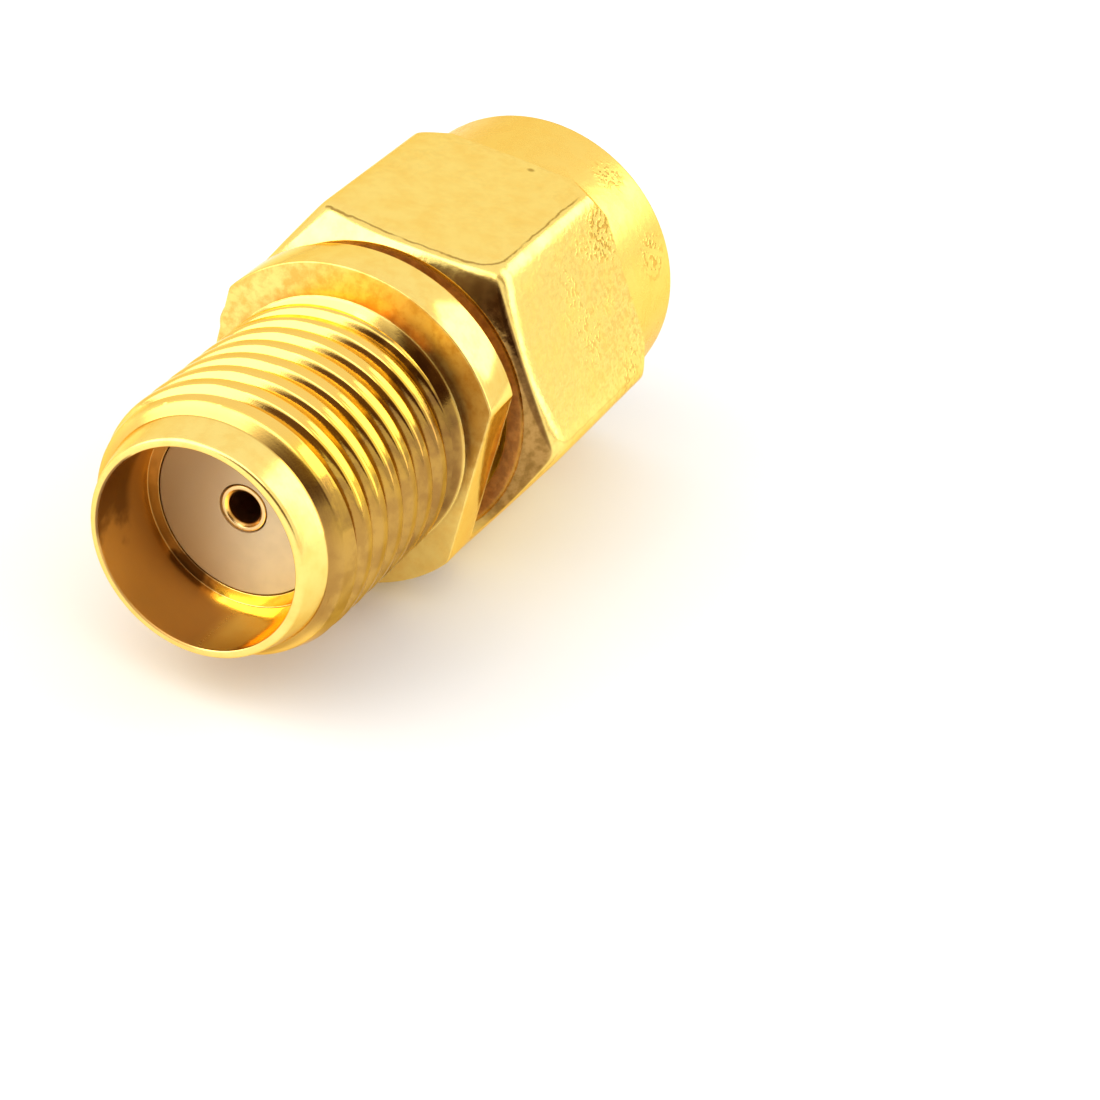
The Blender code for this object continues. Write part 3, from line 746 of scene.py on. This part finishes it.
def shade(piece):
    """Smooth shading that keeps flat faces flat and real edges sharp."""
    piece.data.shade_smooth()
    piece.data.set_sharp_from_angle(angle=SHARP_ANGLE)
    flat = piece.modifiers.new("flat faces", "WEIGHTED_NORMAL")
    flat.mode = "FACE_AREA"
    flat.weight = 60
    flat.keep_sharp = True


def full_turn(steps, extra=()):
    """Angles of a full turn in even steps, with extra ones put in where an edge runs along the axis."""
    even = [TAU * k / steps for k in range(steps + 1)]
    return sorted(set(even) | {angle % TAU for angle in extra})


def flange_edge(sizes, angle):
    """Radius of the flange at an angle: round, with two flats whose corners are softened."""
    flat = (sizes.flange_radius - sizes.flat_depth) / max(1e-3, abs(math.cos(angle - sizes.flat_turn)))
    return (sizes.flange_radius + flat - math.hypot(sizes.flange_radius - flat, EDGE)) / 2


def flange_corner_angles(sizes):
    """Angles close to the four corners of the flange's flats."""
    half = math.acos(1 - sizes.flat_depth / sizes.flange_radius)
    near = [math.radians(step) for step in (-1.2, -0.6, -0.25, 0.0, 0.25, 0.6, 1.2)]
    return [sizes.flat_turn + side + sign * half + step
            for side in (0.0, math.pi) for sign in (-1, 1) for step in near]


class BuildBody(Operator):
    """Build the turned body: jack, outer thread, flange, neck and ferrule"""
    bl_idname = "coax_adapter.build_body"
    bl_label = "Build body"

    def execute(self, context):
        sizes = context.scene.coax_body
        thread = context.scene.coax_thread
        nose_foot = sizes.nose_radius + sizes.nose_flare
        relief_end = sizes.jack_length - sizes.relief_slope
        thread_end = relief_end - sizes.relief_length
        angles = full_turn(ROUND_STEPS, flange_corner_angles(sizes))
        turn = thread_turn(thread, sizes.thread_radius, 1)
        root_radius = turn[:, 1].min()
        taper_start = sizes.nose_length + sizes.thread_chamfer
        taper_stations = (sizes.nose_length, taper_start, taper_start + sizes.thread_taper)
        taper_radii = (nose_foot, (root_radius + sizes.thread_radius) / 2, sizes.thread_radius)

        def envelope(stations):
            return np.interp(stations, taper_stations, taper_radii)

        stations, radii = threaded_zone(thread, turn, angles, sizes.nose_length, thread_end, envelope, 1)
        columns = []
        for angle, along, across in zip(angles, stations, radii):
            rest = self.plain_outline(sizes, angle, root_radius - sizes.relief_drop, thread_end)
            columns.append(np.concatenate([np.stack([along, across], axis=1), rest]))
        gold = turned_gold(context.scene.coax_finish, sizes)
        skin("body_shell", angles, columns, gold, "body", "adapter_body")
        return {"FINISHED"}

    def plain_outline(self, sizes, angle, relief, thread_end):
        """The outline from the thread's end round the back and through the bore to the nose's foot."""
        flange = flange_edge(sizes, angle)
        flange_back = sizes.jack_length + sizes.flange_thickness
        neck_end = FERRULE_END - sizes.ferrule_length
        groove = sizes.neck_radius - sizes.neck_groove
        corners = [
            (thread_end, sizes.thread_radius, 0.0),
            (thread_end, relief, EDGE),
            (thread_end + sizes.relief_length, relief, EDGE),
            (sizes.jack_length, sizes.thread_radius, EDGE),
            (sizes.jack_length, flange, 1.4 * EDGE),
            (flange_back, flange, 1.4 * EDGE),
            (flange_back, sizes.neck_radius, EDGE),
            (RING_BACK - EDGE, sizes.neck_radius, 0.0),
            (RING_BACK - EDGE, groove, 0.0),
            (RING_FRONT + EDGE, groove, 0.0),
            (RING_FRONT + EDGE, sizes.neck_radius, 0.0),
            (neck_end, sizes.neck_radius, EDGE),
            (neck_end, sizes.ferrule_radius, EDGE),
            (FERRULE_END, sizes.ferrule_radius, 1.4 * EDGE),
            (FERRULE_END, sizes.bore_radius, 0.7 * EDGE),
            (sizes.counterbore_depth, sizes.bore_radius, 0.7 * EDGE),
            (sizes.counterbore_depth, sizes.counterbore_radius, EDGE),
            (0.0, sizes.counterbore_radius, 1.6 * EDGE),
            (0.0, sizes.nose_radius, sizes.nose_round),
            (sizes.nose_length, sizes.nose_radius + sizes.nose_flare, 0.0),
        ]
        return rounded(corners)[1:-1]


def hexagon_edge(sizes, angle):
    """Radius of the hexagon at an angle: flats up and down, with long edges that blend into them."""
    off = abs((angle + HALF_SIDE) % (2 * HALF_SIDE) - HALF_SIDE)
    sharp = HALF_FLATS / math.cos(HALF_SIDE)
    blunt = (HALF_FLATS - sizes.corner_round) / math.cos(HALF_SIDE) + sizes.corner_round
    power = math.log(2) / math.log(sharp / blunt)
    near = math.cos(off)
    beside = math.cos(2 * HALF_SIDE - off)
    return HALF_FLATS / (near * (1 + (beside / near) ** power) ** (1 / power))


def hexagon_angles():
    """Angles of a full turn, close together on the hexagon's rounded edges."""
    flat = np.radians(np.linspace(-20, 20, 17))
    corner = np.radians(np.linspace(20, 40, 25))[1:-1]
    one = np.concatenate([flat, corner])
    angles = np.concatenate([one + 2 * HALF_SIDE * k for k in range(6)])
    return list(angles) + [angles[0] + TAU]


class BuildNut(Operator):
    """Build the coupling nut: hexagon, skirt, mouth, inner thread and bore"""
    bl_idname = "coax_adapter.build_nut"
    bl_label = "Build coupling nut"

    def execute(self, context):
        sizes = context.scene.coax_nut
        thread = context.scene.coax_thread
        mouth_floor = NUT_FRONT - sizes.mouth_depth
        thread_back = mouth_floor - sizes.thread_length

        def envelope(stations):
            ends = np.minimum(stations - thread_back, mouth_floor - stations)
            return sizes.minor_radius + np.maximum(0.0, sizes.thread_entry - ends)

        angles = hexagon_angles()
        turn = thread_turn(thread, sizes.minor_radius, -1)
        stations, radii = threaded_zone(thread, turn, angles, thread_back, mouth_floor, envelope, -1)
        columns = []
        for angle, along, across in zip(angles, stations, radii):
            rest = self.plain_outline(sizes, angle, thread_back, mouth_floor)
            columns.append(np.concatenate([np.stack([along, across], axis=1)[::-1], rest]))
        gold = drawn_gold(context.scene.coax_finish, sizes)
        skin("nut_shell", angles, columns, gold, "nut", "coupling_nut")
        return {"FINISHED"}

    def plain_outline(self, sizes, angle, thread_back, mouth_floor):
        """The outline from the thread's back end through the bore and round the outside to the mouth."""
        neck_end = FERRULE_END - bpy.context.scene.coax_body.ferrule_length
        chamfer_start = HALF_FLATS - sizes.chamfer_drop
        hexagon = hexagon_edge(sizes, angle)
        chamfer_end = NUT_BACK + (hexagon - chamfer_start) * math.tan(sizes.chamfer_angle)
        hexagon_front = NUT_BACK + sizes.hex_length
        corner_radius = HALF_FLATS / math.cos(HALF_SIDE)
        slope = sizes.taper_drop / sizes.taper_length
        taper_start = hexagon_front - sizes.taper_length + (corner_radius - hexagon) / slope
        corners = [
            (thread_back, sizes.minor_radius, 0.0),
            (thread_back, sizes.hollow_radius, EDGE),
            (neck_end, sizes.hollow_radius, EDGE),
            (neck_end, sizes.bore_radius, EDGE),
            (RING_FRONT + EDGE, sizes.bore_radius, 0.0),
            (RING_FRONT + EDGE, sizes.groove_radius, 0.0),
            (RING_BACK - EDGE, sizes.groove_radius, 0.0),
            (RING_BACK - EDGE, sizes.bore_radius, 0.0),
            (NUT_BACK + sizes.opening_depth, sizes.bore_radius, EDGE),
            (NUT_BACK + sizes.opening_depth, sizes.opening_radius, EDGE),
            (NUT_BACK + sizes.opening_chamfer, sizes.opening_radius, EDGE),
            (NUT_BACK, sizes.opening_radius + sizes.opening_chamfer, EDGE),
            (NUT_BACK, chamfer_start, 2 * EDGE),
            (chamfer_end, hexagon, sizes.chamfer_round),
            (min(taper_start, hexagon_front - EDGE), hexagon, 2 * EDGE),
            (hexagon_front, min(corner_radius - sizes.taper_drop, hexagon - EDGE), 3 * EDGE),
            (hexagon_front + 2 * EDGE, sizes.skirt_radius, 4 * EDGE),
            (NUT_FRONT, sizes.skirt_radius, sizes.rim_round),
            (NUT_FRONT, sizes.mouth_radius, 2 * EDGE),
            (mouth_floor, sizes.mouth_radius, EDGE),
            (mouth_floor, sizes.minor_radius, 0.0),
        ]
        return rounded(corners)[1:-1]


class BuildContact(Operator):
    """Build the centre contact: a plain socket for the jack and a slotted one for the plug"""
    bl_idname = "coax_adapter.build_contact"
    bl_label = "Build contact"

    def execute(self, context):
        sizes = context.scene.coax_inner
        jack_end = context.scene.coax_body.counterbore_depth
        middle = (jack_end + FERRULE_END) / 2
        collar_back = middle - sizes.collar_length / 2
        collar_front = middle + sizes.collar_length / 2
        mouth = sizes.socket_radius + sizes.socket_chamfer
        corners = [
            (jack_end + sizes.socket_depth, FINE_EDGE, 0.0),
            (jack_end + sizes.socket_depth, sizes.socket_radius, FINE_EDGE),
            (jack_end + sizes.socket_chamfer, sizes.socket_radius, FINE_EDGE),
            (jack_end, mouth, FINE_EDGE),
            (jack_end, sizes.contact_radius, 1.5 * FINE_EDGE),
            (collar_back, sizes.contact_radius, FINE_EDGE),
            (collar_back, CONTACT_COLLAR_RADIUS, FINE_EDGE),
            (collar_front, CONTACT_COLLAR_RADIUS, FINE_EDGE),
            (collar_front, sizes.contact_radius, FINE_EDGE),
            (FERRULE_END, sizes.contact_radius, 1.5 * FINE_EDGE),
            (FERRULE_END, mouth, FINE_EDGE),
            (FERRULE_END - sizes.socket_chamfer, sizes.socket_radius, FINE_EDGE),
            (FERRULE_END - sizes.socket_depth, sizes.socket_radius, FINE_EDGE),
            (FERRULE_END - sizes.socket_depth, FINE_EDGE, 0.0),
        ]
        gold = contact_gold(context.scene.coax_finish, sizes)
        contact = turned("contact_socket", corners, SMALL_STEPS, gold, "center_contact")
        self.cut_slot(context, contact, sizes)
        return {"FINISHED"}

    def cut_slot(self, context, contact, sizes):
        """Saw the slot across the plug's socket, in line with the flange's flats."""
        place = Matrix.Translation((RIM_X + FERRULE_END, 0.0, AXIS_Z))
        turn = Matrix.Rotation(context.scene.coax_body.flat_turn - math.pi / 2, 4, "X")
        size = Matrix.Diagonal((2 * sizes.slot_depth, 3 * sizes.contact_radius, sizes.slot_width, 1.0))
        bm = bmesh.new()
        bmesh.ops.create_cube(bm, size=1.0, matrix=place @ turn @ size)
        saw = new_object("slot_saw", finished_mesh("slot_saw", bm))
        cut = contact.modifiers.new("slot", "BOOLEAN")
        cut.operation = "DIFFERENCE"
        cut.solver = "EXACT"
        cut.object = saw
        contact.modifiers.move(len(contact.modifiers) - 1, 0)
        graph = context.evaluated_depsgraph_get()
        slotted = bpy.data.meshes.new_from_object(contact.evaluated_get(graph))
        contact.modifiers.clear()
        contact.data = slotted
        bpy.data.objects.remove(saw, do_unlink=True)
        shade(contact)


class BuildBeads(Operator):
    """Build the jack's bead and the plug's bead, with a small gap round the sockets"""
    bl_idname = "coax_adapter.build_beads"
    bl_label = "Build beads"

    def execute(self, context):
        sizes = context.scene.coax_inner
        jack_face = context.scene.coax_body.counterbore_depth
        ptfe = waxy_ptfe(context.scene.coax_finish)
        hole = sizes.contact_radius + sizes.bead_gap
        for name, face, back, node in (
            ("jack_bead", jack_face, JACK_BEAD_HIGH.x - RIM_X, "jack_dielectric"),
            ("plug_bead", FERRULE_END, PLUG_BEAD_LOW.x - RIM_X, "plug_dielectric"),
        ):
            corners = [
                (face, hole, FINE_EDGE),
                (face, BEAD_RADIUS, 2 * FINE_EDGE),
                (back, BEAD_RADIUS, FINE_EDGE),
                (back, hole, FINE_EDGE),
            ]
            turned(name, corners, ROUND_STEPS, ptfe, node)
        return {"FINISHED"}


class BuildGasket(Operator):
    """Build the flat gasket that seals against the mating connector"""
    bl_idname = "coax_adapter.build_gasket"
    bl_label = "Build gasket"

    def execute(self, context):
        sizes = context.scene.coax_inner
        back = GASKET_LOW.x - RIM_X
        front = GASKET_HIGH.x - RIM_X
        inner = context.scene.coax_body.ferrule_radius + sizes.ferrule_clearance
        corners = [
            (front, inner, sizes.gasket_round / 2),
            (front, GASKET_RADIUS, sizes.gasket_round),
            (back, GASKET_RADIUS, sizes.gasket_round / 2),
            (back, inner, sizes.gasket_round / 4),
        ]
        rubber = black_rubber(context.scene.coax_finish)
        turned("gasket_ring", corners, ROUND_STEPS, rubber, "gasket")
        return {"FINISHED"}


class FinishSnapRing(Operator):
    """Give the snap ring, which comes with the frame, its bare spring bronze"""
    bl_idname = "coax_adapter.finish_snap_ring"
    bl_label = "Finish snap ring"

    def execute(self, context):
        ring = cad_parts["snap_ring"]
        ring.data.materials.clear()
        ring.data.materials.append(spring_bronze(context.scene.coax_finish))
        return {"FINISHED"}


def toward(azimuth, elevation):
    """Unit vector at that azimuth from +X and that elevation, in degrees."""
    turn = math.radians(azimuth)
    rise = math.radians(elevation)
    return Vector((math.cos(turn) * math.cos(rise), math.sin(turn) * math.cos(rise), math.sin(rise)))


class BuildStage(Operator):
    """Build the floor, the lamps, the surroundings and the camera"""
    bl_idname = "coax_adapter.build_stage"
    bl_label = "Build stage"

    def execute(self, context):
        settings = context.scene.coax_stage
        self.build_floor(settings)
        self.build_surroundings(settings)
        self.build_lamps(settings)
        self.build_camera(settings)
        context.scene.view_settings.view_transform = "Standard"
        return {"FINISHED"}

    def build_floor(self, settings):
        bm = bmesh.new()
        bmesh.ops.create_grid(bm, x_segments=1, y_segments=1, size=settings.floor_size / 2)
        floor = new_object("floor", finished_mesh("floor", bm))
        pale, graph = new_material("pale floor")
        color = opaque(settings.floor_color)
        principled(graph, {"Base Color": color, "Roughness": 0.9, "Specular IOR Level": 0.2})
        floor.data.materials.append(pale)

    def build_surroundings(self, settings):
        """White surroundings with one dark part, above the ground on the side that the jack faces."""
        world = bpy.data.worlds.new("surroundings")
        world.use_nodes = True
        graph = Graph(world.node_tree)
        direction = graph.node("ShaderNodeTexCoord", output=0)
        height = graph.split(direction)[2]
        above = height.ramp(math.sin(math.radians(DARK_FOOT)), math.sin(math.radians(DARK_FOOT_END)))
        inputs = {0: direction, 1: toward(DARK_AZIMUTH, DARK_ELEVATION)}
        nearness = graph.node("ShaderNodeVectorMath", {"operation": "DOT_PRODUCT"}, inputs, 1)
        dark = nearness.ramp(math.cos(math.radians(DARK_OUTER)), math.cos(math.radians(DARK_INNER)))
        color = graph.mix_color(dark * above, settings.sky, settings.dark_side)
        background = graph.node("ShaderNodeBackground", {}, {"Color": color, "Strength": 1.0})
        graph.node("ShaderNodeOutputWorld", {}, {"Surface": background})
        bpy.context.scene.world = world

    def build_lamps(self, settings):
        """Rectangular lamps of even brightness that face the adapter."""
        for name, azimuth, elevation, width, height, radiance in SOFTBOXES:
            lamp = bpy.data.lights.new(name, "AREA")
            lamp.shape = "RECTANGLE"
            lamp.size = width * MM
            lamp.size_y = height * MM
            lamp.energy = radiance * math.pi * lamp.size * lamp.size_y
            lamp.color = settings.lamp_color
            holder = new_object(name, lamp)
            direction = toward(azimuth, elevation)
            holder.location = Vector((0.0, 0.0, AXIS_Z)) + direction * settings.lamp_distance
            holder.rotation_euler = direction.to_track_quat("Z", "Y").to_euler()

    def build_camera(self, settings):
        camera = bpy.data.cameras.new("camera")
        camera.lens = settings.lens
        camera.sensor_width = 36.0
        camera.clip_start = 0.001
        camera.clip_end = 2.0
        holder = new_object("camera", camera)
        holder.location = Vector((RIM_X, 0.0, AXIS_Z)) + Vector(settings.camera_offset)
        holder.rotation_euler = Euler(settings.camera_turn)
        bpy.context.scene.camera = holder


class CoaxAdapterPanel(Panel):
    """Sizes and build buttons of the coax adapter"""
    bl_idname = "VIEW3D_PT_coax_adapter"
    bl_label = "Coax Adapter"
    bl_space_type = "VIEW_3D"
    bl_region_type = "UI"
    bl_category = "Coax Adapter"

    def draw(self, context):
        layout = self.layout
        for operator in OPERATORS:
            layout.operator(operator.bl_idname)
        for attribute, group in GROUPS:
            box = layout.box()
            settings = getattr(context.scene, attribute)
            for name in group.__annotations__:
                box.prop(settings, name)


GROUPS = (
    ("coax_thread", ThreadSizes),
    ("coax_body", BodySizes),
    ("coax_nut", NutSizes),
    ("coax_inner", InnerSizes),
    ("coax_finish", FinishColors),
    ("coax_stage", StageSettings),
)
OPERATORS = (BuildBody, BuildNut, BuildContact, BuildBeads, BuildGasket, FinishSnapRing, BuildStage)
CLASSES = (*OPERATORS, CoaxAdapterPanel)


def register():
    for attribute, group in GROUPS:
        bpy.utils.register_class(group)
        setattr(bpy.types.Scene, attribute, PointerProperty(type=group))
    for item in CLASSES:
        bpy.utils.register_class(item)


def unregister():
    for item in reversed(CLASSES):
        bpy.utils.unregister_class(item)
    for attribute, group in reversed(GROUPS):
        delattr(bpy.types.Scene, attribute)
        bpy.utils.unregister_class(group)


def main():
    register()
    bpy.ops.coax_adapter.build_body()
    bpy.ops.coax_adapter.build_nut()
    bpy.ops.coax_adapter.build_contact()
    bpy.ops.coax_adapter.build_beads()
    bpy.ops.coax_adapter.build_gasket()
    bpy.ops.coax_adapter.finish_snap_ring()
    bpy.ops.coax_adapter.build_stage()


if __name__ == "__main__":
    main()
